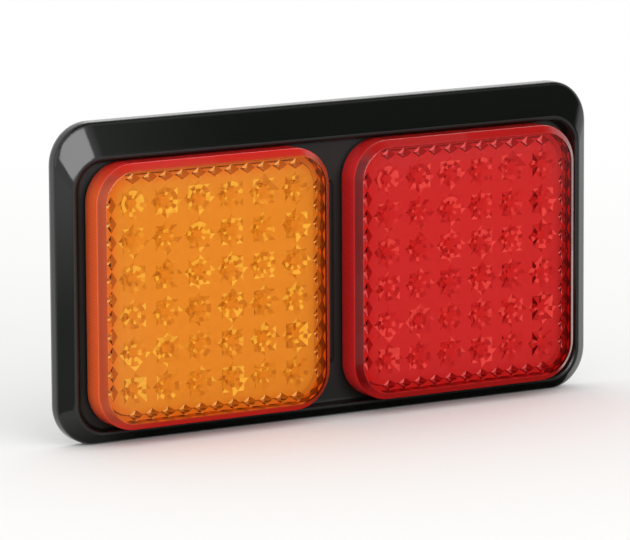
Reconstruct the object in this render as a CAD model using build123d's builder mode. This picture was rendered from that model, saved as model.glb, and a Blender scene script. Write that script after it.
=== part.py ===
"""Twin tail light: an amber and a red square LED lamp, side by side in one moulded bracket.

+X is to the right of the lit face, +Z is up and the lit face looks towards -Y.
The bracket's back edge lies on the mounting plane Y = 0, and the origin is the middle of its inserts.
Depths are measured forward from that plane.
"""

import os

from build123d import *

os.makedirs("parts", exist_ok=True)

# Lens
lens_size = 80.0
lens_corner = 12.0
lens_wall = 2.0
lens_front_thickness = 2.0
lens_height = 9.0
lens_chamfer = 2.2
lens_edge_round = 0.6

# Lens optics
led_rows = 6
led_pitch = 11.2
star_radius = 5.4
star_depth = 1.2
star_slope = 2.6
prism_length = 5.2
prism_width = 3.4
prism_depth = 1.0
prism_foot = 0.1
prism_slope = 1.2
prism_pitch = 5.6
prisms_per_side = 11
prism_gap = 0.4

# Bracket
lens_gap = 8.7
side_gap = 4.0
end_gap = 0.6
pocket_corner = 9.0
pocket_slope_side = 2.0
pocket_slope_end = 0.2
rim_land = 1.2
rim_height = 6.8
rim_corner = 10.2
bevel_side = 4.3
bevel_top = 10.2
bevel_bottom = 2.9
bracket_edge = 3.6
bracket_shoulder_round = 1.0
rim_round = 0.5
bracket_corner = 12.6
bracket_wall = 2.4
floor_height = 3.6
floor_thickness = 2.0
divider_width = 3.2
divider_height = 0.8
divider_taper = 30.0
channel_rib_thickness = 1.6
channel_ribs = 5

# Fixing of the bracket to a panel
insert_spacing = 56.0
insert_length = 4.0
insert_radius = 2.8
insert_bore_radius = 1.65
insert_clearance = 0.05
insert_boss_wall = 1.4
insert_cap = 0.6
insert_boss_clearance = 0.2

# Seal and housing
seal_thickness = 1.2
seal_width = 4.6
seal_inset = 0.4
housing_clearance = 0.15
housing_base = 1.2
housing_lip_thickness = 1.6
housing_lip_height = 2.2

# Lamp screws
screw_offset = 22.4
screw_radius = 1.45
screw_head_radius = 2.8
screw_head_height = 1.3
screw_length = 4.8
screw_tip_clearance = 0.6
screw_pilot_clearance = 0.05
screw_hole_clearance = 0.25
screw_recess_radius = 0.8
screw_recess_depth = 0.7
boss_radius = 3.0
boss_height = 1.0

# Cable gland
gland_bore_radius = 2.5
gland_neck_radius = 4.5
gland_flange_radius = 6.0
gland_flange_thickness = 0.7
gland_collar_radius = 6.5
gland_setback = 0.6
gland_clearance = 0.1
gland_floor_clearance = 0.5

# Circuit board and what is soldered to it
board_thickness = 1.6
board_clearance = 0.3
led_length = 3.5
led_width = 2.8
led_height = 0.8
led_window = 2.2
led_window_height = 0.4
led_window_taper = 20.0
led_clearance = 0.8
resistor_length = 3.2
resistor_width = 1.6
resistor_height = 0.6
diode_length = 4.3
diode_width = 2.6
diode_height = 0.9
diode_taper = 5.0
diode_offset = 11.2

# Places worked out from the sizes above
lens_pitch = lens_size + lens_gap
pocket_width = lens_pitch + lens_size + 2 * side_gap
pocket_height = lens_size + 2 * end_gap
rim_width = pocket_width + 2 * rim_land
rim_span = pocket_height + 2 * rim_land
bracket_width = rim_width + 2 * bevel_side
bracket_height = rim_span + bevel_top + bevel_bottom
bracket_z = (bevel_top - bevel_bottom) / 2
lamp_centres = {"amber": -lens_pitch / 2, "red": lens_pitch / 2}
floor_back = floor_height - floor_thickness
lens_base = floor_height + seal_thickness
lens_front = lens_base + lens_height
lens_inner = lens_front - lens_front_thickness
led_front = lens_inner - star_depth - led_clearance
board_front = led_front - led_window_height - led_height
board_back = board_front - board_thickness
housing_floor = board_back - boss_height
housing_back = housing_floor - housing_base
led_field = led_pitch * (led_rows - 1)
star_half = star_radius / 2**0.5
lens_cavity = lens_size - 2 * lens_wall
cavity_corner = lens_corner - lens_wall
housing_size = lens_cavity - 2 * housing_clearance
housing_corner = cavity_corner - housing_clearance
tray_size = housing_size - 2 * housing_lip_thickness
tray_corner = housing_corner - housing_lip_thickness
board_size = tray_size - 2 * board_clearance
board_corner = tray_corner - board_clearance
seal_outer = lens_size - 2 * seal_inset
seal_corner = lens_corner - seal_inset
seal_inner = seal_outer - 2 * seal_width
plate_size = seal_inner - 2 * housing_clearance
plate_corner = seal_corner - seal_width - housing_clearance
insert_boss_radius = insert_radius + insert_clearance + insert_boss_wall
insert_boss_height = insert_length + insert_cap
gland_front = housing_floor + gland_flange_thickness


def front_plane(depth, x=0.0, z=0.0):
    """A sketch plane facing forward at this depth, with its local Y along +Z."""
    return Plane((x, -depth, z), x_dir=(1, 0, 0), z_dir=(0, -1, 0))


def edges_at(builder, depth):
    """The edges that lie at this depth all along."""
    return builder.edges().filter_by(lambda edge: all(abs(v.Y + depth) < 1e-4 for v in edge.vertices()))


def back_plane(depth, x=0.0):
    """A sketch plane at this depth that faces back, towards the mounting plane."""
    return Plane((x, -depth, 0), x_dir=(1, 0, 0), z_dir=(0, 1, 0))


# Square pyramid of the lens optics: two of them, crossed, make the star in front of each LED
with BuildPart() as star_pyramid:
    for side, side_mode in ((Plane.XZ, Mode.ADD), (Plane.YZ, Mode.INTERSECT)):
        with BuildSketch(side):
            Polygon(
                (-star_half, 0),
                (star_half, 0),
                (star_half - star_slope, star_depth),
                (star_slope - star_half, star_depth),
                align=None,
            )
        extrude(amount=star_half, both=True, mode=side_mode)

# Diamond prism of the lens's border
with BuildPart() as prism:
    with BuildSketch(Plane.XY):
        Polygon(
            (prism_width / 2, 0),
            (0, prism_length / 2),
            (-prism_width / 2, 0),
            (0, -prism_length / 2),
            align=None,
        )
    extrude(amount=prism_depth)
    prism_top = prism.faces().sort_by(Axis.Z)[-1]
    chamfer(prism_top.edges(), prism_slope, prism_depth - prism_foot, reference=prism_top)

# Bracket: a shallow moulding with a bevelled border, a raised rim and a sunk floor for the lamps
with BuildPart() as bracket:
    with BuildSketch(front_plane(0, z=bracket_z)):
        RectangleRounded(bracket_width, bracket_height, bracket_corner)
    extrude(amount=bracket_edge)
    with BuildSketch(front_plane(bracket_edge, z=bracket_z)):
        RectangleRounded(bracket_width, bracket_height, bracket_corner)
    with BuildSketch(front_plane(rim_height)):
        RectangleRounded(rim_width, rim_span, rim_corner)
    loft(ruled=True)
    fillet(edges_at(bracket, bracket_edge), bracket_shoulder_round)

    # Pocket for the lamps, with sloping sides
    with BuildSketch(front_plane(floor_height)):
        RectangleRounded(
            pocket_width - 2 * pocket_slope_side,
            pocket_height - 2 * pocket_slope_end,
            pocket_corner - pocket_slope_end,
        )
    with BuildSketch(front_plane(rim_height)):
        RectangleRounded(pocket_width, pocket_height, pocket_corner)
    loft(ruled=True, mode=Mode.SUBTRACT)
    fillet(edges_at(bracket, rim_height), rim_round)

    # Divider between the lamps
    with BuildSketch(front_plane(floor_height)):
        SlotOverall(lens_size - 2 * lens_corner, divider_width, rotation=90)
    extrude(amount=divider_height, taper=divider_taper)

    # Hollow back
    with BuildSketch(front_plane(0, z=bracket_z)):
        RectangleRounded(
            bracket_width - 2 * bracket_wall,
            bracket_height - 2 * bracket_wall,
            bracket_corner - bracket_wall,
        )
    extrude(amount=floor_back, mode=Mode.SUBTRACT)

    # Channel that keeps the wide top bevel to an even wall, and the ribs across it
    bevel_slope = (rim_height - bracket_edge) / bevel_top
    channel_top = bracket_z + bracket_height / 2 - bracket_wall
    channel_foot = pocket_height / 2 + bracket_wall
    channel_top_depth = bracket_edge + bevel_slope * bracket_wall - bracket_wall
    channel_foot_depth = channel_top_depth + bevel_slope * (channel_top - channel_foot)
    channel_length = bracket_width - 2 * bracket_corner
    with BuildSketch(Plane.YZ):
        Polygon(
            (0, channel_foot),
            (0, channel_top),
            (-channel_top_depth, channel_top),
            (-channel_foot_depth, channel_foot),
            align=None,
        )
    extrude(amount=channel_length / 2, both=True, mode=Mode.SUBTRACT)
    channel_middle = (channel_foot + channel_top) / 2
    rib_pitch = channel_length / (channel_ribs + 1)
    with BuildSketch(front_plane(0, z=channel_middle)):
        with GridLocations(rib_pitch, 0, channel_ribs, 1):
            Rectangle(channel_rib_thickness, channel_top - channel_foot)
    extrude(until=Until.NEXT)

    # Bosses for the threaded inserts, closed at the front
    with BuildSketch(front_plane(0)):
        with GridLocations(lens_pitch, insert_spacing, 2, 2):
            Circle(insert_boss_radius)
    extrude(amount=insert_boss_height)
    with BuildSketch(front_plane(0)):
        with GridLocations(lens_pitch, insert_spacing, 2, 2):
            Circle(insert_radius + insert_clearance)
    extrude(amount=insert_length, mode=Mode.SUBTRACT)

    # Holes through the floor for each lamp's gland and screws
    with BuildSketch(front_plane(0)):
        with GridLocations(lens_pitch, 0, 2, 1):
            Circle(gland_collar_radius + gland_floor_clearance)
            with GridLocations(2 * screw_offset, 2 * screw_offset, 2, 2):
                Circle(screw_radius + screw_hole_clearance)
    extrude(amount=floor_height, mode=Mode.SUBTRACT)
bracket.part.label = "bracket"
export_step(bracket.part, "parts/bracket.step")

# Brass inserts in the bracket's bosses
with BuildPart() as threaded_inserts:
    with BuildSketch(front_plane(0)):
        with GridLocations(lens_pitch, insert_spacing, 2, 2):
            Circle(insert_radius)
            Circle(insert_bore_radius, mode=Mode.SUBTRACT)
    extrude(amount=insert_length)
threaded_inserts.part.label = "threaded_inserts"
export_step(threaded_inserts.part, "parts/threaded_inserts.step")

for lamp, lamp_x in lamp_centres.items():

    def lamp_plane(depth):
        """A forward-facing sketch plane on this lamp's axis."""
        return front_plane(depth, lamp_x)

    # Lens: a deep cap with a chamfered front and its optics on the inner face
    with BuildPart() as lens:
        with BuildSketch(lamp_plane(lens_base)):
            RectangleRounded(lens_size, lens_size, lens_corner)
        extrude(amount=lens_height)
        chamfer(edges_at(lens, lens_front), lens_chamfer)
        fillet(edges_at(lens, lens_front) + edges_at(lens, lens_front - lens_chamfer), lens_edge_round)
        with BuildSketch(lamp_plane(lens_base)):
            RectangleRounded(lens_cavity, lens_cavity, cavity_corner)
        extrude(amount=lens_inner - lens_base, mode=Mode.SUBTRACT)
        with Locations(back_plane(lens_inner, lamp_x)):
            with GridLocations(led_pitch, led_pitch, led_rows, led_rows):
                add(star_pyramid.part)
                add(star_pyramid.part, rotation=(0, 0, 45))
            border = led_field / 2 + star_radius + prism_gap + prism_width / 2
            with PolarLocations(border, 4):
                with GridLocations(0, prism_pitch, 1, prisms_per_side):
                    add(prism.part)
    lens.part.label = f"{lamp}_lens"
    export_step(lens.part, f"parts/{lamp}_lens.step")

    # Seal: a flat gasket under the edge of the lens and the housing
    with BuildPart() as seal:
        with BuildSketch(lamp_plane(floor_height)):
            RectangleRounded(seal_outer, seal_outer, seal_corner)
            RectangleRounded(seal_inner, seal_inner, seal_corner - seal_width, mode=Mode.SUBTRACT)
        extrude(amount=seal_thickness)
    seal.part.label = f"{lamp}_seal"
    export_step(seal.part, f"parts/{lamp}_seal.step")

    # Housing: a tray inside the lens, with bosses that carry the board and take the screws
    with BuildPart() as housing:
        # Plate at the board's distance, and the edge around it that sits on the seal
        with BuildSketch(lamp_plane(housing_back)):
            RectangleRounded(plate_size, plate_size, plate_corner)
        extrude(amount=housing_base)
        with BuildSketch(lamp_plane(lens_base)):
            RectangleRounded(housing_size, housing_size, housing_corner)
            RectangleRounded(plate_size, plate_size, plate_corner, mode=Mode.SUBTRACT)
        extrude(amount=housing_floor - lens_base)
        with BuildSketch(lamp_plane(housing_floor)):
            RectangleRounded(housing_size, housing_size, housing_corner)
            RectangleRounded(tray_size, tray_size, tray_corner, mode=Mode.SUBTRACT)
        extrude(amount=housing_lip_height)
        with BuildSketch(lamp_plane(housing_floor)):
            with GridLocations(2 * screw_offset, 2 * screw_offset, 2, 2):
                Circle(boss_radius)
        extrude(amount=boss_height)
        with BuildSketch(lamp_plane(floor_back)):
            with GridLocations(2 * screw_offset, 2 * screw_offset, 2, 2):
                Circle(screw_radius + screw_pilot_clearance)
        extrude(amount=screw_length, mode=Mode.SUBTRACT)
        with BuildSketch(lamp_plane(housing_back)):
            Circle(gland_neck_radius + gland_clearance)
        extrude(amount=housing_base, mode=Mode.SUBTRACT)
        # The plate stays clear of the bracket's insert bosses
        with BuildSketch(lamp_plane(0)):
            with GridLocations(0, insert_spacing, 1, 2):
                Circle(insert_boss_radius + housing_clearance)
        extrude(amount=insert_boss_height + insert_boss_clearance, mode=Mode.SUBTRACT)
    housing.part.label = f"{lamp}_housing"
    export_step(housing.part, f"parts/{lamp}_housing.step")

    # Screws that hold the lamp to the bracket from behind
    with BuildPart() as screws:
        with BuildSketch(lamp_plane(floor_back - screw_head_height)):
            with GridLocations(2 * screw_offset, 2 * screw_offset, 2, 2):
                Circle(screw_head_radius)
        extrude(amount=screw_head_height)
        with BuildSketch(lamp_plane(floor_back)):
            with GridLocations(2 * screw_offset, 2 * screw_offset, 2, 2):
                Circle(screw_radius)
        extrude(amount=screw_length)
        with BuildSketch(lamp_plane(floor_back - screw_head_height)):
            with GridLocations(2 * screw_offset, 2 * screw_offset, 2, 2):
                RegularPolygon(screw_recess_radius, 6)
        extrude(amount=screw_recess_depth, mode=Mode.SUBTRACT)
    screws.part.label = f"{lamp}_screws"
    export_step(screws.part, f"parts/{lamp}_screws.step")

    # Cable gland: a rubber grommet that grips the edge of the housing's hole
    with BuildPart() as cable_gland:
        with BuildSketch(lamp_plane(gland_setback)):
            Circle(gland_collar_radius)
        extrude(amount=housing_back - gland_setback)
        with BuildSketch(lamp_plane(housing_back)):
            Circle(gland_neck_radius)
        extrude(amount=housing_base)
        with BuildSketch(lamp_plane(housing_floor)):
            Circle(gland_flange_radius)
        extrude(amount=gland_flange_thickness)
        with BuildSketch(lamp_plane(gland_setback)):
            Circle(gland_bore_radius)
        extrude(amount=gland_front - gland_setback, mode=Mode.SUBTRACT)
    cable_gland.part.label = f"{lamp}_cable_gland"
    export_step(cable_gland.part, f"parts/{lamp}_cable_gland.step")

    # Circuit board, resting on the housing's bosses
    with BuildPart() as circuit_board:
        with BuildSketch(lamp_plane(board_back)):
            RectangleRounded(board_size, board_size, board_corner)
        extrude(amount=board_thickness)
        # The board stays clear of the screws' tips
        with BuildSketch(lamp_plane(floor_back)):
            with GridLocations(2 * screw_offset, 2 * screw_offset, 2, 2):
                Circle(screw_radius + screw_hole_clearance)
        extrude(amount=screw_length + screw_tip_clearance, mode=Mode.SUBTRACT)
    circuit_board.part.label = f"{lamp}_circuit_board"
    export_step(circuit_board.part, f"parts/{lamp}_circuit_board.step")

    # LEDs, one behind each star
    with BuildPart() as leds:
        with BuildSketch(lamp_plane(board_front)):
            with GridLocations(led_pitch, led_pitch, led_rows, led_rows):
                Rectangle(led_length, led_width)
        extrude(amount=led_height)
        with BuildSketch(lamp_plane(board_front + led_height)):
            with GridLocations(led_pitch, led_pitch, led_rows, led_rows):
                Rectangle(led_window, led_window)
        extrude(amount=led_window_height, taper=led_window_taper)
    leds.part.label = f"{lamp}_leds"
    export_step(leds.part, f"parts/{lamp}_leds.step")

    # Resistors behind the board, one for each column of LEDs, level with the lowest gap between the rows
    with BuildPart() as resistors:
        with BuildSketch(lamp_plane(board_back - resistor_height)):
            with Locations((0, (led_pitch - led_field) / 2)):
                with GridLocations(led_pitch, 0, led_rows, 1):
                    Rectangle(resistor_width, resistor_length)
        extrude(amount=resistor_height)
    resistors.part.label = f"{lamp}_resistors"
    export_step(resistors.part, f"parts/{lamp}_resistors.step")

    # Diode that guards the lamp against reversed leads, behind the board and above the gland
    with BuildPart() as diode:
        with BuildSketch(back_plane(board_back, lamp_x)):
            with Locations((0, -diode_offset)):
                Rectangle(diode_length, diode_width)
        extrude(amount=diode_height, taper=diode_taper)
    diode.part.label = f"{lamp}_diode"
    export_step(diode.part, f"parts/{lamp}_diode.step")
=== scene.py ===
"""Finishes and studio for a twin tail light: two square LED lamps in a gloss black bracket."""

import math

import bpy
from bpy.props import FloatProperty, FloatVectorProperty, PointerProperty
from mathutils import Matrix, Vector


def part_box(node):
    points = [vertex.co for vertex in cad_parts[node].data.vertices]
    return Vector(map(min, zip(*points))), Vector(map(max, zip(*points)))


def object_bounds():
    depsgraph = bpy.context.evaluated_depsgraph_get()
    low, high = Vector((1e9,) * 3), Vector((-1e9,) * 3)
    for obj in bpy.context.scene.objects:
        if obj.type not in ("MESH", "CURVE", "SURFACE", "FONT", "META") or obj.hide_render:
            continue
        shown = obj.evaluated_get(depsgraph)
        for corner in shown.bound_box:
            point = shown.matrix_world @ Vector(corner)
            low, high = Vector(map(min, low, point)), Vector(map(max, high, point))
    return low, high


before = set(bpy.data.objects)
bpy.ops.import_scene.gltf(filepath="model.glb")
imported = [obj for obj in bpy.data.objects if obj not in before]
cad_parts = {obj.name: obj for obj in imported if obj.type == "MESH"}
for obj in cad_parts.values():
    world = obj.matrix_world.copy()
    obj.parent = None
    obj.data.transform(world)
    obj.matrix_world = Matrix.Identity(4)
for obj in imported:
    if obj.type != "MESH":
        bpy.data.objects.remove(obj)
cad_box = [list(corner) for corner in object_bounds()]

bl_info = {
    "name": "Twin Tail Light",
    "version": (1, 0, 0),
    "blender": (4, 5, 0),
    "location": "View3D > Sidebar > Tail Light",
    "description": "Finishes a twin tail light and sets up its studio",
    "category": "Object",
}

MM = 0.001
LAMPS = ("amber", "red")
LENS_CORNER = 12 * MM
LENS_CHAMFER = 2.2 * MM
LED_PITCH = 11.2 * MM
METAL_RADIUS = 2.8 * MM

# What every colour has in common, and the finest pattern that a user may set
RGB = {"size": 3, "min": 0, "max": 1}
FINEST = 0.1 * MM

# Where the finishes of a lens begin and are whole: from its front, from the outside of its wall, or inward
# from its milky edge
OPTICS_DEPTH = (1.7 * MM, 1.8 * MM)
WALL_INSIDE = (1.0 * MM, 1.2 * MM)
PRISM_BAND = (4.6 * MM, 4.2 * MM)
PAINTED_GLOW_BAND = (4.6 * MM, 1.0 * MM)
EDGE_BLEND = 0.15 * MM
CHAMFER_BLEND = 0.3 * MM
TOP_BLEND_START = 4 * MM
FLOW_WIDTH = 3 * MM
FLUTE_DEPTH = 0.05 * MM

# Shares of light in a lens, the limits of a diamond's gap and of a sloped face, and the chances that paint a
# facet with a glint or with shade
EDGE_CLEARNESS = 0.15
FLUTE_SHADE = 0.75
PAINTED_GLOW = 0.7
DIAMOND_GAP = (-0.5, -0.2)
SLOPED_FACE = (0.98, 0.96)
PAINTED_GLINT_CHANCE = (0.74, 0.84)
PAINTED_SHADE_CHANCE = (0.3, 0.05)
DEEPEST_PAINTED_SHADE = 0.7

# Steps that tell facets apart by the way they face, and stars by the LED that they stand before
FACING_STEPS = 6
STAR_STEPS = 17

ACRYLIC_IOR = 1.49
LENS_IOR = 1.3

# Depth at which the white of a tray begins and is whole, from the mounting plane
TRAY_DEPTH = (5.6 * MM, 5.8 * MM)

# Widths of the patterns in the smaller pieces
RUBBER_BLOOM = 5 * MM
BOARD_WEAVE = 0.8 * MM
PACKAGE_GRAIN = 0.5 * MM

# The studio, in metres: the floor, where it and the grey card turn white, and the lights and cards
FLOOR_REACH = 6.0
FLOOR_FADE = (0.15, 0.6)
CARD_FADE = (0.3, 0.55)
CARD_LIFT = 0.5 * MM
FELT_EDGE = (0.5, 0.3)
KEY_TOWARD = (-0.066, -0.943, 0.326)
KEY_WIDTH = 0.87
KEY_HEIGHT = 0.49
TOP_PANEL_SHARE = 0.7
FRONT_FLAG_TOP = 0.6
HIGH_FLAG_Z = 0.7
BRACKET_EDGE_Y = -4 * MM

# The photograph's viewpoint, worked out from the edges of the bracket and the lenses
CAMERA_AZIMUTH = math.radians(-31.253)
CAMERA_ELEVATION = math.radians(9.608)
CAMERA_ROLL = math.radians(0.295)
CAMERA_DISTANCE = 1.6451
CAMERA_TARGET = Vector((0.0, 0.0, 3.65 * MM))
CAMERA_OFFSET = (2.035 * MM, 3.772 * MM)
CAMERA_LENS = 309.2
CAMERA_SENSOR = 36.0


def linear(hex_colour):
    """An sRGB hex colour as linear red, green and blue."""
    channels = [int(hex_colour[i:i + 2], 16) / 255 for i in (1, 3, 5)]
    return tuple(c / 12.92 if c <= 0.04045 else ((c + 0.055) / 1.055) ** 2.4 for c in channels)


def add_node(tree, kind, inputs=None, **settings):
    """Adds a node, makes its settings, and gives each named input a value or a link."""
    node = tree.nodes.new(kind)
    for name, value in settings.items():
        setattr(node, name, value)
    for name, value in (inputs or {}).items():
        if isinstance(value, bpy.types.NodeSocket):
            tree.links.new(value, node.inputs[name])
        else:
            node.inputs[name].default_value = value
    return node


def new_material(name):
    """An empty node material and its tree."""
    material = bpy.data.materials.new(name)
    material.use_nodes = True
    material.node_tree.nodes.clear()
    return material, material.node_tree


def seen_directly(tree):
    """1 for rays that see the background itself, and 0 for those that light the object."""
    path = add_node(tree, "ShaderNodeLightPath").outputs
    seen = path["Is Camera Ray"]
    for ray in ("Is Glossy Ray", "Is Transmission Ray"):
        seen = add_node(tree, "ShaderNodeMath", {
            0: seen, 1: path[ray],
        }, operation="MAXIMUM").outputs["Value"]
    return seen


def finish_node(node, material):
    """Gives a CAD node its material."""
    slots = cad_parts[node].data.materials
    slots.clear()
    slots.append(material)


class TailLightFinish(bpy.types.PropertyGroup):
    """Colours and grain sizes of the tail light."""

    moulding_colour: FloatVectorProperty(
        name="Moulding", description="Colour of the gloss black bracket",
        subtype="COLOR", **RGB, default=linear("#121512"),
    )
    housing_colour: FloatVectorProperty(
        name="Housing", description="Colour of the tray behind each lens",
        subtype="COLOR", **RGB, default=linear("#141515"),
    )
    rubber_colour: FloatVectorProperty(
        name="Rubber", description="Colour of the seals and cable glands",
        subtype="COLOR", **RGB, default=linear("#1a1b1b"),
    )
    board_colour: FloatVectorProperty(
        name="Board", description="Colour of the circuit boards",
        subtype="COLOR", **RGB, default=linear("#f8f9f5"),
    )
    tray_colour: FloatVectorProperty(
        name="Tray", description="Colour of the inside of each housing",
        subtype="COLOR", **RGB, default=linear("#f0ede6"),
    )
    # Painted light and shade: the pale diamonds and dark gaps inside each lens's wall
    amber_diamond: FloatVectorProperty(
        name="Amber diamonds", description="Colour of the diamonds inside the amber lens's wall",
        subtype="COLOR", **RGB, default=linear("#ffc884"),
    )
    amber_diamond_gap: FloatVectorProperty(
        name="Amber diamond gaps", description="Colour between the diamonds inside the amber lens's wall",
        subtype="COLOR", **RGB, default=linear("#7a5650"),
    )
    red_diamond: FloatVectorProperty(
        name="Red diamonds", description="Colour of the diamonds inside the red lens's wall",
        subtype="COLOR", **RGB, default=linear("#f07a70"),
    )
    red_diamond_gap: FloatVectorProperty(
        name="Red diamond gaps", description="Colour between the diamonds inside the red lens's wall",
        subtype="COLOR", **RGB, default=linear("#6e3436"),
    )
    diamond_length: FloatProperty(
        name="Diamond length", description="Spacing of the diamonds along the lens's wall",
        subtype="DISTANCE", unit="LENGTH", min=FINEST, default=5.6 * MM,
    )
    diamond_width: FloatProperty(
        name="Diamond width", description="Spacing of the diamonds down the lens's wall",
        subtype="DISTANCE", unit="LENGTH", min=FINEST, default=4.0 * MM,
    )
    amber_absorption: FloatVectorProperty(
        name="Amber", description="Colour that the amber acrylic lets through",
        subtype="COLOR", **RGB, default=linear("#fcdc4e"),
    )
    red_absorption: FloatVectorProperty(
        name="Red", description="Colour that the red acrylic lets through",
        subtype="COLOR", **RGB, default=linear("#f74048"),
    )
    amber_tint: FloatVectorProperty(
        name="Amber tint", description="Tint that the amber lens's surface gives",
        subtype="COLOR", **RGB, default=linear("#fbd89d"),
    )
    red_tint: FloatVectorProperty(
        name="Red tint", description="Tint that the red lens's surface gives",
        subtype="COLOR", **RGB, default=linear("#f29e9f"),
    )
    amber_flow: FloatVectorProperty(
        name="Amber flow", description="Tint of the amber lens where its melt ran deeper",
        subtype="COLOR", **RGB, default=linear("#f0c98c"),
    )
    red_flow: FloatVectorProperty(
        name="Red flow", description="Tint of the red lens where its melt ran deeper",
        subtype="COLOR", **RGB, default=linear("#e69290"),
    )
    # Painted light: a warmer tint at the rim of each lens's front, for light from the edge
    amber_painted_glow: FloatVectorProperty(
        name="Amber rim", description="Tint at the rim of the amber lens's front",
        subtype="COLOR", **RGB, default=linear("#ff9a4a"),
    )
    red_painted_glow: FloatVectorProperty(
        name="Red rim", description="Tint at the rim of the red lens's front",
        subtype="COLOR", **RGB, default=linear("#f06058"),
    )
    facet_step: FloatProperty(
        name="Facet step", description="Width of the rings that part the facets of each star",
        subtype="DISTANCE", unit="LENGTH", min=FINEST, default=1.3 * MM,
    )
    # Painted glint: the share of the palest facets that is made diffuse, to show as a glint
    painted_glint_share: FloatProperty(
        name="Glint", description="Share of the light that the palest facets send straight back",
        subtype="FACTOR", min=0, max=1, default=0.95,
    )
    # Painted glints: tints of the palest facets of each lens
    amber_pale: FloatVectorProperty(
        name="Amber pale facets", description="Tint of the palest facets in the amber lens",
        subtype="COLOR", **RGB, default=linear("#fffcb4"),
    )
    red_pale: FloatVectorProperty(
        name="Red pale facets", description="Tint of the palest facets in the red lens",
        subtype="COLOR", **RGB, default=linear("#ffd0bc"),
    )
    # Painted shade: tints of the deepest facets and of the border prisms of each lens
    amber_deep: FloatVectorProperty(
        name="Amber deep facets", description="Tint of the deepest facets in the amber lens",
        subtype="COLOR", **RGB, default=linear("#a47048"),
    )
    red_deep: FloatVectorProperty(
        name="Red deep facets", description="Tint of the deepest facets in the red lens",
        subtype="COLOR", **RGB, default=linear("#984044"),
    )
    # Painted shade: how bright each lens's side chamfer is painted beside its wall
    amber_chamfer: FloatProperty(
        name="Amber chamfer", description="Brightness of the amber lens's side chamfer beside its wall",
        subtype="FACTOR", min=0, max=1, default=0.5,
    )
    red_chamfer: FloatProperty(
        name="Red chamfer", description="Brightness of the red lens's side chamfer beside its wall",
        subtype="FACTOR", min=0, max=1, default=0.2,
    )
    # Colours of the milky edges; the top ones are painted redder, for the longer run of light through them
    amber_side: FloatVectorProperty(
        name="Amber side", description="Colour of the amber lens's left and right edges",
        subtype="COLOR", **RGB, default=linear("#ff6936"),
    )
    amber_top: FloatVectorProperty(
        name="Amber top", description="Colour of the amber lens's top and bottom edges",
        subtype="COLOR", **RGB, default=linear("#e42928"),
    )
    red_side: FloatVectorProperty(
        name="Red side", description="Colour of the red lens's left and right edges",
        subtype="COLOR", **RGB, default=linear("#fb3234"),
    )
    red_top: FloatVectorProperty(
        name="Red top", description="Colour of the red lens's top and bottom edges",
        subtype="COLOR", **RGB, default=linear("#c32320"),
    )
    lens_edge: FloatProperty(
        name="Milky edge", description="Width of the milky edge of each lens",
        subtype="DISTANCE", unit="LENGTH", min=0, default=2.2 * MM,
    )
    flute_spacing: FloatProperty(
        name="Flutes", description="Spacing of the flutes in the wall of each lens, drawn coarse to show",
        subtype="DISTANCE", unit="LENGTH", min=FINEST, default=0.7 * MM,
    )
    acrylic_density: FloatProperty(
        name="Acrylic density", description="How strongly the acrylic absorbs, for each metre of it",
        min=0, default=120,
    )
    edge_softness: FloatProperty(
        name="Edge softness", description="Reach of the soft band of shine along the bracket's edges",
        subtype="DISTANCE", unit="LENGTH", min=0, default=1.6 * MM,
    )
    land_roughness: FloatProperty(
        name="Land roughness", description="Roughness of the bracket's lands that face the front",
        subtype="FACTOR", min=0, max=1, default=0.5,
    )
    moulding_grain: FloatProperty(
        name="Moulding ripple", description="Width of the faint ripple in the gloss",
        subtype="DISTANCE", unit="LENGTH", min=FINEST, default=4 * MM,
    )
    back_grain: FloatProperty(
        name="Back grain", description="Width of the grain on the bracket's back, drawn coarse to show",
        subtype="DISTANCE", unit="LENGTH", min=FINEST, default=0.8 * MM,
    )
    turning: FloatProperty(
        name="Turning marks", description="Spacing of the turning marks on the metal, drawn coarse to show",
        subtype="DISTANCE", unit="LENGTH", min=FINEST, default=0.5 * MM,
    )
    spark_grain: FloatProperty(
        name="Spark grain", description="Width of the spark-eroded grain on the housings",
        subtype="DISTANCE", unit="LENGTH", min=FINEST, default=0.3 * MM,
    )


class TailLightStudio(bpy.types.PropertyGroup):
    """Light and floor of the studio."""

    sky_strength: FloatProperty(
        name="Sky", description="Strength of the even white light from all sides",
        min=0, default=1.0,
    )
    key_power: FloatProperty(
        name="Key light", description="Power of the softbox in front",
        subtype="POWER", unit="POWER", min=0, default=2.2,
    )
    gloss_power: FloatProperty(
        name="Gloss panels", description="Power of the front gloss panel, of which the top one has a share",
        subtype="POWER", unit="POWER", min=0, default=5.8,
    )
    fill_power: FloatProperty(
        name="Fill light", description="Power of the softbox at the left",
        subtype="POWER", unit="POWER", min=0, default=1.0,
    )
    floor_colour: FloatVectorProperty(
        name="Floor", description="Colour of the floor",
        subtype="COLOR", **RGB, default=linear("#f6f6f4"),
    )


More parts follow.
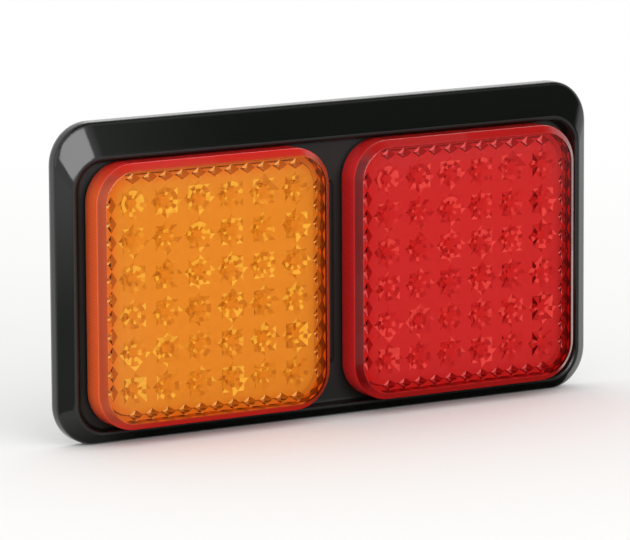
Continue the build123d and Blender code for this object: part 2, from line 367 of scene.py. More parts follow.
class TAILLIGHT_OT_bracket(bpy.types.Operator):
    """Give the bracket its polished black moulding"""

    bl_idname = "tail_light.bracket"
    bl_label = "Bracket"

    def execute(self, context):
        finish = context.scene.tail_light_finish
        # ABS, injection moulded in a polished mould: a deep black with sharp, faintly rippled reflections
        material, tree = new_material("gloss_black_abs")
        place = add_node(tree, "ShaderNodeTexCoord").outputs["Object"]
        ripple = add_node(tree, "ShaderNodeTexNoise", {
            "Vector": place, "Scale": 1 / finish.moulding_grain, "Detail": 1.0,
        }).outputs["Fac"]
        # Its rounded edges draw the reflections out into soft bands
        softened = add_node(tree, "ShaderNodeBevel", {
            "Radius": finish.edge_softness,
        }, samples=8).outputs["Normal"]
        bump = add_node(tree, "ShaderNodeBump", {
            "Height": ripple, "Strength": 0.04, "Distance": 0.1 * MM, "Normal": softened,
        }).outputs["Normal"]
        polish = add_node(tree, "ShaderNodeMapRange", {
            "Value": ripple, "To Min": 0.06, "To Max": 0.1,
        }).outputs["Result"]
        # Lands that face the front are satin, as the mould is polished less there
        facing = add_node(tree, "ShaderNodeNewGeometry").outputs["True Normal"]
        forward = add_node(tree, "ShaderNodeSeparateXYZ", {"Vector": facing}).outputs["Y"]
        land = add_node(tree, "ShaderNodeMapRange", {
            "Value": forward, "From Min": -0.97, "From Max": -0.99, "To Max": finish.land_roughness,
        }).outputs["Result"]
        # The back comes from a spark-eroded half of the mould: dull, with a fine grain, drawn coarse to show
        back = add_node(tree, "ShaderNodeMapRange", {
            "Value": forward, "From Min": 0.9, "From Max": 0.95, "To Max": 0.5,
        }).outputs["Result"]
        for dull in (land, back):
            polish = add_node(tree, "ShaderNodeMath", {
                0: polish, 1: dull,
            }, operation="MAXIMUM").outputs["Value"]
        grain = add_node(tree, "ShaderNodeTexNoise", {
            "Vector": place, "Scale": 1 / finish.back_grain, "Detail": 2.0,
        }).outputs["Fac"]
        bump = add_node(tree, "ShaderNodeBump", {
            "Height": grain, "Strength": back, "Distance": 0.12 * MM, "Normal": bump,
        }).outputs["Normal"]
        shader = add_node(tree, "ShaderNodeBsdfPrincipled", {
            "Base Color": (*finish.moulding_colour, 1), "Roughness": polish, "Normal": bump,
            "IOR": 1.46,
        })
        add_node(tree, "ShaderNodeOutputMaterial", {"Surface": shader.outputs["BSDF"]})
        finish_node("bracket", material)
        return {"FINISHED"}


class TAILLIGHT_OT_lenses(bpy.types.Operator):
    """Give each lens its clear coloured acrylic"""

    bl_idname = "tail_light.lenses"
    bl_label = "Lenses"

    def execute(self, context):
        finish = context.scene.tail_light_finish
        for lamp in LAMPS:
            # Acrylic, injection moulded and dyed through: clear and bright in front, deeper where it is
            # thick, and milky at the edge, where fine flutes inside the wall scatter the light
            material, tree = new_material(f"{lamp}_acrylic")
            dyes = {
                name: (*getattr(finish, f"{lamp}_{name}"), 1)
                for name in ("tint", "flow", "painted_glow", "pale", "deep", "side", "top",
                             "diamond", "diamond_gap", "absorption")
            }
            low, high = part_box(f"{lamp}_lens")
            middle = (low + high) / 2
            flat = (high.x - low.x) / 2 - LENS_CORNER
            edge_start = LENS_CORNER - finish.lens_edge
            place = add_node(tree, "ShaderNodeTexCoord").outputs["Object"]
            from_middle = add_node(tree, "ShaderNodeVectorMath", {
                0: place, 1: (middle.x, 0, middle.z),
            }, operation="SUBTRACT").outputs["Vector"]
            out = add_node(tree, "ShaderNodeVectorMath", {
                0: from_middle,
            }, operation="ABSOLUTE").outputs["Vector"]
            out_axes = add_node(tree, "ShaderNodeSeparateXYZ", {"Vector": out}).outputs

            # Distance beyond the flat middle, round the corners too, and the milky edge that it gives
            beyond = add_node(tree, "ShaderNodeVectorMath", {
                0: out, 1: (flat, 1, flat),
            }, operation="SUBTRACT").outputs["Vector"]
            beyond = add_node(tree, "ShaderNodeVectorMath", {
                0: beyond, 1: (0, 0, 0),
            }, operation="MAXIMUM").outputs["Vector"]
            distance = add_node(tree, "ShaderNodeVectorMath", {
                0: beyond,
            }, operation="LENGTH").outputs["Value"]
            edge = add_node(tree, "ShaderNodeMapRange", {
                "Value": distance, "From Min": edge_start, "From Max": edge_start + EDGE_BLEND,
            }).outputs["Result"]
            clear = add_node(tree, "ShaderNodeMapRange", {
                "Value": edge, "To Min": 1.0, "To Max": EDGE_CLEARNESS,
            }).outputs["Result"]

            # Flutes across the wall, evenly spaced round the lens
            run_along = add_node(tree, "ShaderNodeMath", {
                0: out_axes["Z"], 1: out_axes["X"],
            }, operation="SUBTRACT").outputs["Value"]
            turn = add_node(tree, "ShaderNodeMath", {
                0: run_along, 1: 2 * math.pi / finish.flute_spacing,
            }, operation="MULTIPLY").outputs["Value"]
            flutes = add_node(tree, "ShaderNodeMath", {0: turn}, operation="SINE").outputs["Value"]
            bump = add_node(tree, "ShaderNodeBump", {
                "Height": add_node(tree, "ShaderNodeMath", {
                    0: flutes, 1: edge,
                }, operation="MULTIPLY").outputs["Value"],
                "Strength": 0.3, "Distance": FLUTE_DEPTH,
            }).outputs["Normal"]

            # Painted light: the edge is painted redder along the top and the bottom, where the light runs
            # through more of it
            near_top = add_node(tree, "ShaderNodeMapRange", {
                "Value": out_axes["Z"], "From Min": flat + TOP_BLEND_START, "From Max": flat + LENS_CORNER,
            }).outputs["Result"]
            milk = add_node(tree, "ShaderNodeMixRGB", {
                "Fac": near_top, "Color1": dyes["side"], "Color2": dyes["top"],
            }).outputs["Color"]
            # Painted shade: the milky edge is painted darker in the troughs of the flutes
            shade = add_node(tree, "ShaderNodeMapRange", {
                "Value": flutes, "From Min": -1.0, "From Max": 1.0, "To Min": FLUTE_SHADE, "To Max": 1.0,
            }).outputs["Result"]
            milk = add_node(tree, "ShaderNodeMixRGB", {
                "Fac": 1.0, "Color1": milk, "Color2": shade,
            }, blend_type="MULTIPLY").outputs["Color"]

            # The inside of the wall is moulded in diamonds all round; their light and shade are painted, pale
            # and dark by turns
            depth = add_node(tree, "ShaderNodeSeparateXYZ", {"Vector": place}).outputs["Y"]
            waves = []
            for run, length in ((run_along, finish.diamond_length), (depth, finish.diamond_width)):
                turn = add_node(tree, "ShaderNodeMath", {
                    0: run, 1: 2 * math.pi / length,
                }, operation="MULTIPLY").outputs["Value"]
                waves.append(add_node(tree, "ShaderNodeMath", {
                    0: turn,
                }, operation="COSINE").outputs["Value"])
            diamond = add_node(tree, "ShaderNodeMath", {
                0: waves[0], 1: waves[1],
            }, operation="SUBTRACT").outputs["Value"]
            diamond = add_node(tree, "ShaderNodeMapRange", {
                "Value": diamond, "From Min": DIAMOND_GAP[0], "From Max": DIAMOND_GAP[1],
            }).outputs["Result"]
            lining = add_node(tree, "ShaderNodeMixRGB", {
                "Fac": diamond, "Color1": dyes["diamond"], "Color2": dyes["diamond_gap"],
            }).outputs["Color"]
            inside = add_node(tree, "ShaderNodeMapRange", {
                "Value": depth, "From Min": low.y + OPTICS_DEPTH[0], "From Max": low.y + OPTICS_DEPTH[1],
            }).outputs["Result"]
            lined = add_node(tree, "ShaderNodeMapRange", {
                "Value": distance, "From Min": LENS_CORNER - WALL_INSIDE[0],
                "From Max": LENS_CORNER - WALL_INSIDE[1], "To Max": inside,
            }).outputs["Result"]

            # Painted shade: the chamfer of the sides is painted darker than the wall behind it, as it is
            # clearer
            chamfer = add_node(tree, "ShaderNodeMapRange", {
                "Value": depth, "From Min": low.y + LENS_CHAMFER,
                "From Max": low.y + LENS_CHAMFER - CHAMFER_BLEND,
                "To Min": 1.0, "To Max": getattr(finish, f"{lamp}_chamfer"),
            }).outputs["Result"]
            chamfer = add_node(tree, "ShaderNodeMath", {
                0: chamfer, 1: near_top,
            }, operation="MAXIMUM").outputs["Value"]
            milk = add_node(tree, "ShaderNodeMixRGB", {
                "Fac": 1.0, "Color1": milk, "Color2": chamfer,
            }, blend_type="MULTIPLY").outputs["Color"]
            milk = add_node(tree, "ShaderNodeMixRGB", {
                "Fac": lined, "Color1": milk, "Color2": lining,
            }).outputs["Color"]

            # Painted glints and painted shade on the sloped facets inside the lens: some are painted pale and
            # some deep.
            # A facet is known by the way that it faces and by the LED that it stands before
            facing = add_node(tree, "ShaderNodeNewGeometry").outputs["True Normal"]
            forward = add_node(tree, "ShaderNodeSeparateXYZ", {"Vector": facing}).outputs["Y"]
            facing_sign = add_node(tree, "ShaderNodeMath", {0: forward}, operation="SIGN").outputs["Value"]
            facing = add_node(tree, "ShaderNodeVectorMath", {
                0: facing, "Scale": facing_sign,
            }, operation="SCALE").outputs["Vector"]
            facing = add_node(tree, "ShaderNodeVectorMath", {
                0: facing, 1: (FACING_STEPS,) * 3, 2: (0.5, 0.5, 0.5),
            }, operation="MULTIPLY_ADD").outputs["Vector"]
            facing = add_node(tree, "ShaderNodeVectorMath", {
                0: facing,
            }, operation="FLOOR").outputs["Vector"]
            cell = add_node(tree, "ShaderNodeVectorMath", {
                0: from_middle, 1: (LED_PITCH, 1, LED_PITCH),
            }, operation="DIVIDE").outputs["Vector"]
            in_cell = add_node(tree, "ShaderNodeVectorMath", {
                0: cell,
            }, operation="FRACTION").outputs["Vector"]
            cell = add_node(tree, "ShaderNodeVectorMath", {0: cell}, operation="FLOOR").outputs["Vector"]
            facet = add_node(tree, "ShaderNodeVectorMath", {
                0: cell, 1: (STAR_STEPS,) * 3, 2: facing,
            }, operation="MULTIPLY_ADD").outputs["Vector"]

            # Steps across each facet part it into rings round the middle of its star
            in_cell = add_node(tree, "ShaderNodeVectorMath", {
                0: in_cell, 1: (1, 0, 1), 2: (-0.5, 0, -0.5),
            }, operation="MULTIPLY_ADD").outputs["Vector"]
            out_of_star = add_node(tree, "ShaderNodeVectorMath", {
                0: in_cell,
            }, operation="LENGTH").outputs["Value"]
            ring = add_node(tree, "ShaderNodeMath", {
                0: out_of_star, 1: finish.facet_step / LED_PITCH,
            }, operation="DIVIDE").outputs["Value"]
            ring = add_node(tree, "ShaderNodeMath", {0: ring}, operation="FLOOR").outputs["Value"]
            facet = add_node(tree, "ShaderNodeVectorMath", {
                0: facet, 1: add_node(tree, "ShaderNodeCombineXYZ", {"Y": ring}).outputs["Vector"],
            }, operation="ADD").outputs["Vector"]
            chance = add_node(tree, "ShaderNodeTexWhiteNoise", {"Vector": facet}).outputs["Value"]
            squareness = add_node(tree, "ShaderNodeMath", {
                0: forward,
            }, operation="ABSOLUTE").outputs["Value"]
            sloped = add_node(tree, "ShaderNodeMapRange", {
                "Value": squareness, "From Min": SLOPED_FACE[0], "From Max": SLOPED_FACE[1],
            }).outputs["Result"]
            sloped = add_node(tree, "ShaderNodeMath", {
                0: sloped, 1: inside,
            }, operation="MULTIPLY").outputs["Value"]
            pale = add_node(tree, "ShaderNodeMapRange", {
                "Value": chance, "From Min": PAINTED_GLINT_CHANCE[0], "From Max": PAINTED_GLINT_CHANCE[1],
            }).outputs["Result"]
            pale = add_node(tree, "ShaderNodeMath", {
                0: pale, 1: sloped,
            }, operation="MULTIPLY").outputs["Value"]
            # The prisms of the border take no painted glint and all of the painted shade
            prism = add_node(tree, "ShaderNodeMapRange", {
                "Value": distance, "From Min": edge_start - PRISM_BAND[0],
                "From Max": edge_start - PRISM_BAND[1], "To Max": sloped,
            }).outputs["Result"]
            pale = add_node(tree, "ShaderNodeMath", {
                0: pale, 1: prism,
            }, operation="SUBTRACT", use_clamp=True).outputs["Value"]
            deep = add_node(tree, "ShaderNodeMapRange", {
                "Value": chance, "From Min": PAINTED_SHADE_CHANCE[0], "From Max": PAINTED_SHADE_CHANCE[1],
                "To Max": DEEPEST_PAINTED_SHADE,
            }).outputs["Result"]
            deep = add_node(tree, "ShaderNodeMath", {
                0: deep, 1: sloped,
            }, operation="MULTIPLY").outputs["Value"]
            deep = add_node(tree, "ShaderNodeMath", {
                0: deep, 1: prism,
            }, operation="MAXIMUM").outputs["Value"]
            flow = add_node(tree, "ShaderNodeTexNoise", {
                "Vector": place, "Scale": 1 / FLOW_WIDTH, "Detail": 2.0,
            }).outputs["Fac"]
            # Painted light: the rim of the front is painted warmer, for light from the edge
            painted_glow = add_node(tree, "ShaderNodeMapRange", {
                "Value": distance, "From Min": edge_start - PAINTED_GLOW_BAND[0],
                "From Max": edge_start - PAINTED_GLOW_BAND[1], "To Max": PAINTED_GLOW,
            }).outputs["Result"]
            front = dyes["tint"]
            for share, dye in ((flow, "flow"), (painted_glow, "painted_glow"), (pale, "pale"), (deep, "deep")):
                front = add_node(tree, "ShaderNodeMixRGB", {
                    "Fac": share, "Color1": front, "Color2": dyes[dye],
                }).outputs["Color"]
            colour = add_node(tree, "ShaderNodeMixRGB", {
                "Fac": edge, "Color1": front, "Color2": milk,
            }).outputs["Color"]

            polish = add_node(tree, "ShaderNodeMapRange", {
                "Value": flow, "To Min": 0.01, "To Max": 0.04,
            }).outputs["Result"]
            # Painted glint: a pale facet is made partly diffuse, so that its glint shows from all round
            painted_glint = add_node(tree, "ShaderNodeMapRange", {
                "Value": pale, "To Min": 1.0, "To Max": 1.0 - finish.painted_glint_share,
            }).outputs["Result"]
            passing = add_node(tree, "ShaderNodeMath", {
                0: clear, 1: painted_glint,
            }, operation="MULTIPLY").outputs["Value"]
            # A lens that bends light less than acrylic does keeps its facets from going black, as they don't
            # on the object, and the coat brings back a part of the gloss that this takes
            shader = add_node(tree, "ShaderNodeBsdfPrincipled", {
                "Base Color": colour, "Roughness": polish, "IOR": LENS_IOR, "Normal": bump,
                "Transmission Weight": passing,
                "Coat Weight": 0.2, "Coat Roughness": 0.03, "Coat IOR": ACRYLIC_IOR,
            })
            # Light on its way in to the board passes the clear front straight, tinted as by a film
            path = add_node(tree, "ShaderNodeLightPath").outputs
            inward = add_node(tree, "ShaderNodeMath", {
                0: path["Is Shadow Ray"], 1: path["Is Diffuse Ray"],
            }, operation="MAXIMUM").outputs["Value"]
            inward = add_node(tree, "ShaderNodeMath", {
                0: inward, 1: clear,
            }, operation="MULTIPLY").outputs["Value"]
            film = add_node(tree, "ShaderNodeBsdfTransparent", {"Color": dyes["tint"]})
            surface = add_node(tree, "ShaderNodeMixShader", {
                "Fac": inward, 1: shader.outputs["BSDF"], 2: film.outputs["BSDF"],
            })
            body = add_node(tree, "ShaderNodeVolumeAbsorption", {
                "Color": dyes["absorption"], "Density": finish.acrylic_density,
            })
            add_node(tree, "ShaderNodeOutputMaterial", {
                "Surface": surface.outputs["Shader"], "Volume": body.outputs["Volume"],
            })
            finish_node(f"{lamp}_lens", material)
        return {"FINISHED"}


class TAILLIGHT_OT_housings(bpy.types.Operator):
    """Give each housing its grained black moulding"""

    bl_idname = "tail_light.housings"
    bl_label = "Housings"

    def execute(self, context):
        finish = context.scene.tail_light_finish
        # ABS, moulded in a spark-eroded mould: a fine even grain that breaks the gloss up
        material, tree = new_material("grained_black_abs")
        place = add_node(tree, "ShaderNodeTexCoord").outputs["Object"]
        grain = add_node(tree, "ShaderNodeTexNoise", {
            "Vector": place, "Scale": 1 / finish.spark_grain, "Detail": 2.0,
        }).outputs["Fac"]
        bump = add_node(tree, "ShaderNodeBump", {
            "Height": grain, "Strength": 0.4, "Distance": 0.05 * MM,
        }).outputs["Normal"]
        polish = add_node(tree, "ShaderNodeMapRange", {
            "Value": grain, "To Min": 0.4, "To Max": 0.6,
        }).outputs["Result"]
        # The inside of the tray is sprayed white, so that it throws light back into the lens
        depth = add_node(tree, "ShaderNodeSeparateXYZ", {"Vector": place}).outputs["Y"]
        inside = add_node(tree, "ShaderNodeMapRange", {
            "Value": depth, "From Min": -TRAY_DEPTH[0], "From Max": -TRAY_DEPTH[1],
        }).outputs["Result"]
        colour = add_node(tree, "ShaderNodeMixRGB", {
            "Fac": inside, "Color1": (*finish.housing_colour, 1), "Color2": (*finish.tray_colour, 1),
        }).outputs["Color"]
        shader = add_node(tree, "ShaderNodeBsdfPrincipled", {
            "Base Color": colour, "Roughness": polish, "Normal": bump, "IOR": 1.53,
        })
        add_node(tree, "ShaderNodeOutputMaterial", {"Surface": shader.outputs["BSDF"]})
        for lamp in LAMPS:
            finish_node(f"{lamp}_housing", material)
        return {"FINISHED"}


class TAILLIGHT_OT_rubber(bpy.types.Operator):
    """Give the seals and cable glands their black rubber"""

    bl_idname = "tail_light.rubber"
    bl_label = "Seals and Glands"

    def execute(self, context):
        finish = context.scene.tail_light_finish
        # EPDM rubber, compression moulded: dull, with a bloom that greys it in patches
        material, tree = new_material("black_epdm_rubber")
        place = add_node(tree, "ShaderNodeTexCoord").outputs["Object"]
        bloom = add_node(tree, "ShaderNodeTexNoise", {
            "Vector": place, "Scale": 1 / RUBBER_BLOOM, "Detail": 4.0,
        }).outputs["Fac"]
        colour = add_node(tree, "ShaderNodeMixRGB", {
            "Fac": bloom, "Color1": (*finish.rubber_colour, 1), "Color2": (*linear("#2b2c2c"), 1),
        }).outputs["Color"]
        polish = add_node(tree, "ShaderNodeMapRange", {
            "Value": bloom, "To Min": 0.65, "To Max": 0.85,
        }).outputs["Result"]
        shader = add_node(tree, "ShaderNodeBsdfPrincipled", {
            "Base Color": colour, "Roughness": polish, "IOR": 1.5,
        })
        add_node(tree, "ShaderNodeOutputMaterial", {"Surface": shader.outputs["BSDF"]})
        for lamp in LAMPS:
            finish_node(f"{lamp}_seal", material)
            finish_node(f"{lamp}_cable_gland", material)
        return {"FINISHED"}


class TAILLIGHT_OT_metal(bpy.types.Operator):
    """Give the screws and threaded inserts their metals"""

    bl_idname = "tail_light.metal"
    bl_label = "Screws and Inserts"

    def execute(self, context):
        finish = context.scene.tail_light_finish
        low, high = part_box("red_screws")
        lamp_x = (low.x + high.x) / 2
        screw_offset = (high.x - low.x) / 2 - METAL_RADIUS
        low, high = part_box("threaded_inserts")
        insert_offset = (high.z - low.z) / 2 - METAL_RADIUS
        # Steel with bright zinc plating and free-cutting brass: rings of turning marks round each axis, and
        # painted shade in the recesses
        for name, pale, deep, offset_x, offset_z, nodes in (
            ("zinc_plated_steel", "#d2d5d8", "#8f9499", screw_offset, screw_offset,
             [f"{lamp}_screws" for lamp in LAMPS]),
            ("turned_brass", "#d1ae66", "#8f6d33", 0.0, insert_offset, ["threaded_inserts"]),
        ):
            material, tree = new_material(name)
            place = add_node(tree, "ShaderNodeTexCoord").outputs["Object"]

            # Distance from the nearest axis, since both kinds stand in mirrored rows
            for middle in ((lamp_x, 0, 0), (offset_x, 0, offset_z)):
                place = add_node(tree, "ShaderNodeVectorMath", {
                    0: place,
                }, operation="ABSOLUTE").outputs["Vector"]
                place = add_node(tree, "ShaderNodeVectorMath", {
                    0: place, 1: middle,
                }, operation="SUBTRACT").outputs["Vector"]
            radius = add_node(tree, "ShaderNodeVectorMath", {
                0: add_node(tree, "ShaderNodeVectorMath", {
                    0: place, 1: (1, 0, 1),
                }, operation="MULTIPLY").outputs["Vector"],
            }, operation="LENGTH").outputs["Value"]
            rings = add_node(tree, "ShaderNodeMath", {
                0: add_node(tree, "ShaderNodeMath", {
                    0: radius, 1: 2 * math.pi / finish.turning,
                }, operation="MULTIPLY").outputs["Value"],
            }, operation="SINE").outputs["Value"]
            bump = add_node(tree, "ShaderNodeBump", {
                "Height": rings, "Strength": 0.5, "Distance": 0.04 * MM,
            }).outputs["Normal"]
            # Painted shade: the recesses are darkened by how enclosed they are
            clear_of_painted_shade = add_node(tree, "ShaderNodeAmbientOcclusion", {
                "Distance": 1.2 * MM,
            }, samples=8).outputs["AO"]
            clear_of_painted_shade = add_node(tree, "ShaderNodeMapRange", {
                "Value": clear_of_painted_shade, "From Min": 0.35, "From Max": 0.9,
            }).outputs["Result"]
            ridge = add_node(tree, "ShaderNodeMapRange", {
                "Value": rings, "From Min": -1.0, "From Max": 1.0, "To Max": 0.6,
            }).outputs["Result"]
            colour = add_node(tree, "ShaderNodeMixRGB", {
                "Fac": ridge, "Color1": (*linear(pale), 1), "Color2": (*linear(deep), 1),
            }).outputs["Color"]
            colour = add_node(tree, "ShaderNodeMixRGB", {
                "Fac": clear_of_painted_shade, "Color1": (*linear("#2a2825"), 1), "Color2": colour,
            }).outputs["Color"]
            polish = add_node(tree, "ShaderNodeMapRange", {
                "Value": rings, "From Min": -1.0, "From Max": 1.0, "To Min": 0.22, "To Max": 0.38,
            }).outputs["Result"]
            shader = add_node(tree, "ShaderNodeBsdfPrincipled", {
                "Base Color": colour, "Roughness": polish, "Metallic": 1.0, "Normal": bump,
            })
            add_node(tree, "ShaderNodeOutputMaterial", {"Surface": shader.outputs["BSDF"]})
            for node in nodes:
                finish_node(node, material)
        return {"FINISHED"}


class TAILLIGHT_OT_boards(bpy.types.Operator):
    """Give each circuit board its white solder mask"""

    bl_idname = "tail_light.boards"
    bl_label = "Circuit Boards"

    def execute(self, context):
        finish = context.scene.tail_light_finish
        # Glass laminate under a white solder mask: bright and half gloss, with the weave faintly showing
        material, tree = new_material("white_solder_mask")
        place = add_node(tree, "ShaderNodeTexCoord").outputs["Object"]
        weave = add_node(tree, "ShaderNodeTexNoise", {
            "Vector": place, "Scale": 1 / BOARD_WEAVE, "Detail": 2.0,
        }).outputs["Fac"]
        colour = add_node(tree, "ShaderNodeMixRGB", {
            "Fac": weave, "Color1": (*finish.board_colour, 1), "Color2": (*linear("#eceee8"), 1),
        }).outputs["Color"]
        polish = add_node(tree, "ShaderNodeMapRange", {
            "Value": weave, "To Min": 0.3, "To Max": 0.42,
        }).outputs["Result"]
        shader = add_node(tree, "ShaderNodeBsdfPrincipled", {
            "Base Color": colour, "Roughness": polish, "IOR": 1.5,
        })
        add_node(tree, "ShaderNodeOutputMaterial", {"Surface": shader.outputs["BSDF"]})
        for lamp in LAMPS:
            finish_node(f"{lamp}_circuit_board", material)
        return {"FINISHED"}


class TAILLIGHT_OT_components(bpy.types.Operator):
    """Give the LEDs, resistors and diodes their moulded bodies"""

    bl_idname = "tail_light.components"
    bl_label = "LEDs, Resistors and Diodes"

    def execute(self, context):
        # Moulded packages: pale for the LEDs, black glaze for the resistors and black epoxy for the diodes
        for name, low, high, rough, kind in (
            ("led_package_resin", "#e9e6d8", "#f7f5ec", 0.25, "leds"),
            ("resistor_glaze", "#161617", "#232324", 0.3, "resistors"),
            ("diode_epoxy", "#191919", "#262626", 0.5, "diode"),
        ):
            material, tree = new_material(name)
            place = add_node(tree, "ShaderNodeTexCoord").outputs["Object"]
            grain = add_node(tree, "ShaderNodeTexNoise", {
                "Vector": place, "Scale": 1 / PACKAGE_GRAIN, "Detail": 2.0,
            }).outputs["Fac"]
            colour = add_node(tree, "ShaderNodeMixRGB", {
                "Fac": grain, "Color1": (*linear(low), 1), "Color2": (*linear(high), 1),
            }).outputs["Color"]
            polish = add_node(tree, "ShaderNodeMapRange", {
                "Value": grain, "To Min": rough - 0.05, "To Max": rough + 0.05,
            }).outputs["Result"]
            shader = add_node(tree, "ShaderNodeBsdfPrincipled", {
                "Base Color": colour, "Roughness": polish, "IOR": 1.5,
            })
            add_node(tree, "ShaderNodeOutputMaterial", {"Surface": shader.outputs["BSDF"]})
            for lamp in LAMPS:
                finish_node(f"{lamp}_{kind}", material)
        return {"FINISHED"}


class TAILLIGHT_OT_stage(bpy.types.Operator):
    """Set up the floor, the light and the camera"""

    bl_idname = "tail_light.stage"
    bl_label = "Stage"

    def execute(self, context):
        studio = context.scene.tail_light_studio
        scene = context.scene
        scene.view_settings.view_transform = "Standard"

        # Floor under the bracket's lower edge
        floor_z = cad_box[0][2]
        mesh = bpy.data.meshes.new("floor")
        corners = [
            (x * FLOOR_REACH, y * FLOOR_REACH, floor_z) for x, y in ((-1, -1), (1, -1), (1, 1), (-1, 1))
        ]
        mesh.from_pydata(corners, [], [(0, 1, 2, 3)])
        floor = bpy.data.objects.new("floor", mesh)
        scene.collection.objects.link(floor)
        # Matt white paper: an even pale ground that takes a soft shadow, and is plain white further off
        material, tree = new_material("white_paper")
        paper = add_node(tree, "ShaderNodeBsdfDiffuse", {"Color": (*studio.floor_colour, 1)})
        plain = add_node(tree, "ShaderNodeEmission", {"Color": (1, 1, 1, 1), "Strength": 1.0})
        place = add_node(tree, "ShaderNodeTexCoord").outputs["Object"]
        away = add_node(tree, "ShaderNodeVectorMath", {0: place}, operation="LENGTH").outputs["Value"]
        away = add_node(tree, "ShaderNodeMapRange", {
            "Value": away, "From Min": FLOOR_FADE[0], "From Max": FLOOR_FADE[1],
            "To Max": seen_directly(tree),
        }, interpolation_type="SMOOTHSTEP").outputs["Result"]
        shader = add_node(tree, "ShaderNodeMixShader", {
            "Fac": away, 1: paper.outputs["BSDF"], 2: plain.outputs["Emission"],
        })
        add_node(tree, "ShaderNodeOutputMaterial", {"Surface": shader.outputs["Shader"]})
        mesh.materials.append(material)

        # Even white light from all sides, and plain white wherever it is seen directly
        world = bpy.data.worlds.new("studio")
        world.use_nodes = True
        tree = world.node_tree
        tree.nodes.clear()
        strength = add_node(tree, "ShaderNodeMapRange", {
            "Value": seen_directly(tree), "To Min": studio.sky_strength, "To Max": 1.0,
        }).outputs["Result"]
        sky = add_node(tree, "ShaderNodeBackground", {"Color": (1, 1, 1, 1), "Strength": strength})
        add_node(tree, "ShaderNodeOutputWorld", {"Surface": sky.outputs["Background"]})
        scene.world = world

        # Softbox in front, a fill at the left for the lens walls, and two bright panels that only the gloss
        # mirrors: one before the softbox, and one high at the back for the bracket's top edge
        top_power = TOP_PANEL_SHARE * studio.gloss_power
        for name, toward, metres_off, width, height, power, gloss_only in (
            ("key_softbox", KEY_TOWARD, 1.2, KEY_WIDTH, KEY_HEIGHT, studio.key_power, False),
            ("left_fill", (-0.945, -0.2, 0.26), 1.2, 0.6, 0.6, studio.fill_power, False),
            ("gloss_panel", KEY_TOWARD, 1.19, KEY_WIDTH, KEY_HEIGHT, studio.gloss_power, True),
            ("top_panel", (0.5, 0.52, 0.69), 0.95, 0.7, 0.6, top_power, True),
        ):
            light_data = bpy.data.lights.new(name, "AREA")
            light_data.shape = "RECTANGLE"
            light_data.size = width
            light_data.size_y = height
            light_data.energy = power
            light = bpy.data.objects.new(name, light_data)
            light.location = Vector(toward) * metres_off
            light.rotation_mode = "QUATERNION"
            light.rotation_quaternion = Vector(toward).to_track_quat("Z", "Y")
            light.visible_diffuse = not gloss_only
            light.visible_transmission = not gloss_only
            light.visible_volume_scatter = not gloss_only
            scene.collection.objects.link(light)

        # Cards that only the gloss mirrors, so that it keeps its depth: black felt on the floor, at the front
        # right and overhead, and grey card on the floor at the left that pales away from the object. The felt
        # thins out toward its edges, so that no hard line shows in the gloss
        felt, tree = new_material("black_felt")
        place = add_node(tree, "ShaderNodeTexCoord").outputs["UV"]
        place = add_node(tree, "ShaderNodeVectorMath", {
            0: place, 1: (0.5, 0.5, 0),
        }, operation="SUBTRACT").outputs["Vector"]
        place = add_node(tree, "ShaderNodeVectorMath", {0: place}, operation="ABSOLUTE").outputs["Vector"]
        across = add_node(tree, "ShaderNodeSeparateXYZ", {"Vector": place}).outputs
        outward = add_node(tree, "ShaderNodeMath", {
            0: across["X"], 1: across["Y"],
        }, operation="MAXIMUM").outputs["Value"]
        thick = add_node(tree, "ShaderNodeMapRange", {
            "Value": outward, "From Min": FELT_EDGE[0], "From Max": FELT_EDGE[1],
        }, interpolation_type="SMOOTHSTEP").outputs["Result"]
        cloth = add_node(tree, "ShaderNodeBsdfDiffuse", {"Color": (*linear("#0a0a0a"), 1)})
        shader = add_node(tree, "ShaderNodeMixShader", {
            "Fac": thick, 1: add_node(tree, "ShaderNodeBsdfTransparent").outputs["BSDF"],
            2: cloth.outputs["BSDF"],
        })
        add_node(tree, "ShaderNodeOutputMaterial", {"Surface": shader.outputs["Shader"]})
        card, tree = new_material("graded_card")
        place = add_node(tree, "ShaderNodeTexCoord").outputs["Object"]
        away = add_node(tree, "ShaderNodeVectorMath", {0: place}, operation="LENGTH").outputs["Value"]
        away = add_node(tree, "ShaderNodeMapRange", {
            "Value": away, "From Min": CARD_FADE[0], "From Max": CARD_FADE[1],
        }).outputs["Result"]
        colour = add_node(tree, "ShaderNodeMixRGB", {
            "Fac": away, "Color1": (*linear("#8a8c8a"), 1), "Color2": (1, 1, 1, 1),
        }).outputs["Color"]
        shader = add_node(tree, "ShaderNodeBsdfDiffuse", {"Color": colour})
        add_node(tree, "ShaderNodeOutputMaterial", {"Surface": shader.outputs["BSDF"]})
        low = floor_z + CARD_LIFT
        top = FRONT_FLAG_TOP
        near = BRACKET_EDGE_Y
        # The felt keeps its full thickness along the edges that stand on the floor or meet the object
        for name, material, first_edge, corners in (
            ("floor_flag", felt, 0.5,
             ((-0.11, near, low), (0.13, near, low), (0.5, -0.62, low), (0.2, -0.62, low))),
            ("front_flag", felt, 0.5,
             ((0.235, -0.73, low), (0.95, -0.2, low), (0.95, -0.2, top), (0.235, -0.73, top))),
            ("high_flag", felt, 0.0,
             [(x, y, HIGH_FLAG_Z) for x, y in ((-0.4, -0.6), (1.0, -0.6), (1.0, 0.05), (-0.4, 0.05))]),
            ("left_card", card, 0.0,
             ((-0.6, -0.6, low), (-0.14, -0.6, low), (-0.11, near, low), (-0.6, near, low))),
        ):
            mesh = bpy.data.meshes.new(name)
            mesh.from_pydata(corners, [], [(0, 1, 2, 3)])
            edges = mesh.uv_layers.new(name="sides").data
            for corner, uv in zip(edges, ((0, first_edge), (1, first_edge), (1, 1), (0, 1))):
                corner.uv = uv
            mesh.materials.append(material)
            flag = bpy.data.objects.new(name, mesh)
            flag.visible_camera = False
            flag.visible_diffuse = False
            flag.visible_transmission = False
            flag.visible_shadow = False
            scene.collection.objects.link(flag)

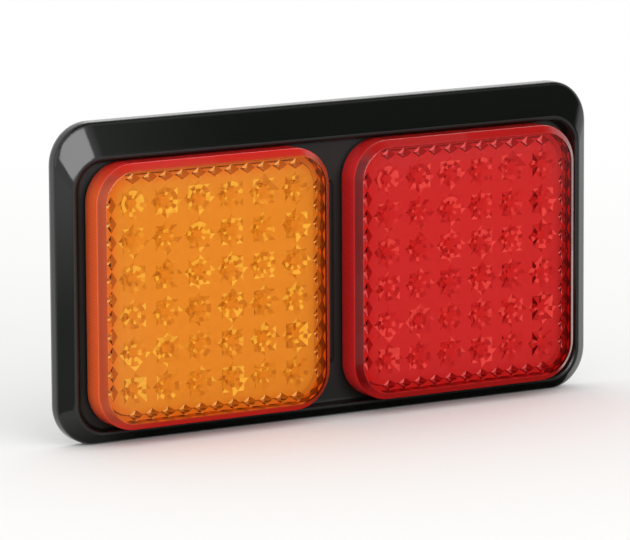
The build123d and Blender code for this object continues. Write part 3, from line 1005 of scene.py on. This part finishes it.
        # Camera at the photograph's viewpoint
        camera_data = bpy.data.cameras.new("camera")
        camera_data.lens = CAMERA_LENS
        camera_data.sensor_width = CAMERA_SENSOR
        camera = bpy.data.objects.new("camera", camera_data)
        back = Vector((
            math.sin(CAMERA_AZIMUTH) * math.cos(CAMERA_ELEVATION),
            -math.cos(CAMERA_AZIMUTH) * math.cos(CAMERA_ELEVATION),
            math.sin(CAMERA_ELEVATION),
        ))
        level_right = Vector((math.cos(CAMERA_AZIMUTH), math.sin(CAMERA_AZIMUTH), 0.0))
        level_up = back.cross(level_right)
        right = level_right * math.cos(CAMERA_ROLL) - level_up * math.sin(CAMERA_ROLL)
        up = level_right * math.sin(CAMERA_ROLL) + level_up * math.cos(CAMERA_ROLL)
        stand = CAMERA_TARGET + back * CAMERA_DISTANCE
        stand -= right * CAMERA_OFFSET[0] + up * CAMERA_OFFSET[1]
        turn = Matrix((right, up, back)).transposed().to_4x4()
        camera.matrix_world = Matrix.Translation(stand) @ turn
        scene.collection.objects.link(camera)
        scene.camera = camera
        return {"FINISHED"}


class TAILLIGHT_PT_sidebar(bpy.types.Panel):
    """Lists the tail light's colours and steps"""

    bl_idname = "TAILLIGHT_PT_sidebar"
    bl_label = "Tail Light"
    bl_space_type = "VIEW_3D"
    bl_region_type = "UI"
    bl_category = "Tail Light"

    def draw(self, context):
        for group in (context.scene.tail_light_finish, context.scene.tail_light_studio):
            for name in group.__annotations__:
                self.layout.prop(group, name)
        for operator in OPERATORS:
            self.layout.operator(operator.bl_idname)


OPERATORS = (
    TAILLIGHT_OT_bracket,
    TAILLIGHT_OT_lenses,
    TAILLIGHT_OT_housings,
    TAILLIGHT_OT_rubber,
    TAILLIGHT_OT_metal,
    TAILLIGHT_OT_boards,
    TAILLIGHT_OT_components,
    TAILLIGHT_OT_stage,
)
CLASSES = (TailLightFinish, TailLightStudio, *OPERATORS, TAILLIGHT_PT_sidebar)


def register():
    for cls in CLASSES:
        bpy.utils.register_class(cls)
    bpy.types.Scene.tail_light_finish = PointerProperty(type=TailLightFinish)
    bpy.types.Scene.tail_light_studio = PointerProperty(type=TailLightStudio)


def unregister():
    del bpy.types.Scene.tail_light_studio
    del bpy.types.Scene.tail_light_finish
    for cls in reversed(CLASSES):
        bpy.utils.unregister_class(cls)


def main():
    """Registers the add-on and runs its steps in order."""
    register()
    bpy.ops.tail_light.bracket()
    bpy.ops.tail_light.lenses()
    bpy.ops.tail_light.housings()
    bpy.ops.tail_light.rubber()
    bpy.ops.tail_light.metal()
    bpy.ops.tail_light.boards()
    bpy.ops.tail_light.components()
    bpy.ops.tail_light.stage()


if __name__ == "__main__":
    main()
